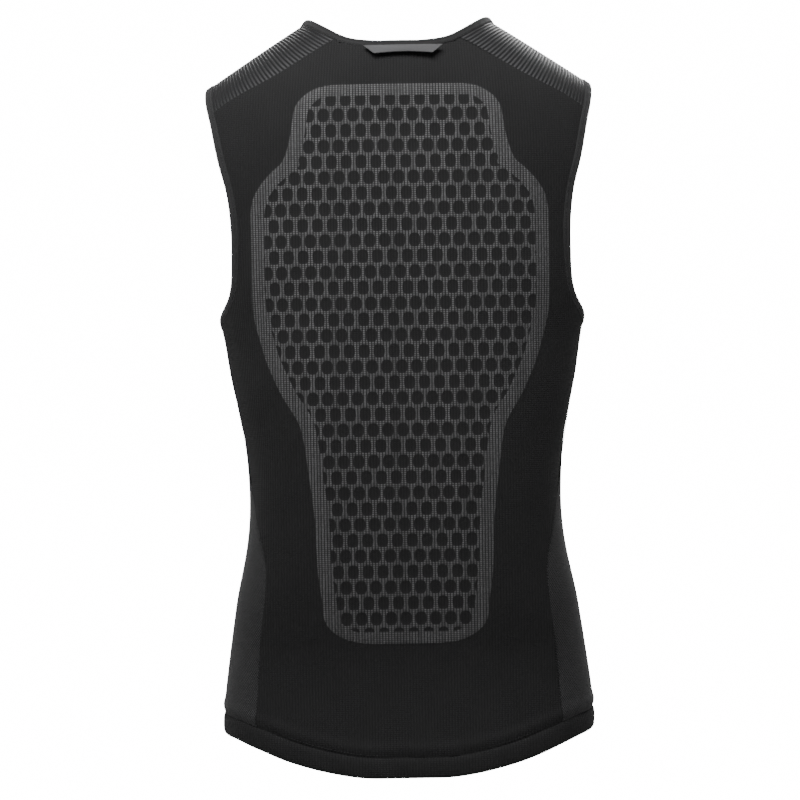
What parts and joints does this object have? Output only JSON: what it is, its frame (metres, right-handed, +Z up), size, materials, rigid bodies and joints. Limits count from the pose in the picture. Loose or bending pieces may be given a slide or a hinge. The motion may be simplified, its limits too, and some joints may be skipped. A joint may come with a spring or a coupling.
{
  "type": "back protector vest",
  "caption": "Zip-front sleeveless knit vest that holds a removable foam back pad in an inside pocket, with mesh sides, bound edges and a hanging loop.",
  "frame": {"origin": "on the wearer's centre line, midway through the body, at the height of the lowest point of the back hem", "axes": "+Z up the body; +Y the way the wearer faces, so the back is on the -Y side; +X to the wearer's right"},
  "size_m": [0.3502, 0.221, 0.6807],
  "materials": {
    "knit": "matte",
    "rib_mesh": "matte",
    "side_mesh": "matte",
    "binding": "matte",
    "tape": "matte",
    "lining": "matte",
    "firm_foam": "matte",
    "soft_foam": "matte",
    "hook_and_loop": "matte",
    "zip_tape": "matte",
    "zip_plastic": "satin",
    "zip_metal": "satin",
    "label": "matte"
  },
  "bodies": {
    "root": {"back_panel": "knit", "front_panel_left": "knit", "front_panel_right": "knit", "side_panel_left": "side_mesh", "side_panel_right": "side_mesh", "shoulder_yoke_left": "rib_mesh", "shoulder_yoke_right": "rib_mesh", "neck_binding": "binding", "armhole_binding_left": "binding", "armhole_binding_right": "binding", "hem_band_back": "knit", "hem_band_side_left": "knit", "hem_band_side_right": "knit", "hem_band_front_left": "knit", "hem_band_front_right": "knit", "size_label": "label", "pocket_liner": "lining", "pocket_flap": "lining", "pocket_hook_strip": "hook_and_loop", "pocket_loop_strip": "hook_and_loop", "zip_tape_left": "zip_tape", "zip_tape_right": "zip_tape", "zip_coil_left": "zip_plastic", "zip_coil_right": "zip_plastic", "zip_top_stop_left": "zip_metal", "zip_top_stop_right": "zip_metal", "zip_insertion_pin": "zip_plastic", "zip_retainer_box": "zip_plastic", "zip_backing_flap": "knit"},
    "pad": {"pad_outer_layer": "firm_foam", "pad_inner_layer": "soft_foam", "pad_pull_tab": "tape"},
    "slider": {"zip_slider": "zip_metal"},
    "pull": {"zip_pull": "zip_metal"},
    "loop": {"hanging_loop": "tape"}
  },
  "joints": [
    {"name": "pad_draw", "type": "hinge", "parent": "root", "child": "pad", "pos_m": [0, 1.385, 0.385], "axis": [1, 0, 0], "range_deg": [0, 16], "deforming": ["pocket_flap", "pocket_hook_strip"]},
    {"name": "zip_travel", "type": "slide", "parent": "root", "child": "slider", "axis": [0, 0.0235, -0.9997], "range_m": [0, 0.5374]},
    {"name": "pull_swing", "type": "hinge", "parent": "slider", "child": "pull", "pos_m": [0, 0.09493, 0.57781], "axis": [1, 0, 0], "range_deg": [0, 150]},
    {"name": "loop_flip", "type": "hinge", "parent": "root", "child": "loop", "pos_m": [0, -0.08222, 0.65184], "axis": [-1, 0, 0], "range_deg": [0, 100]}
  ]
}
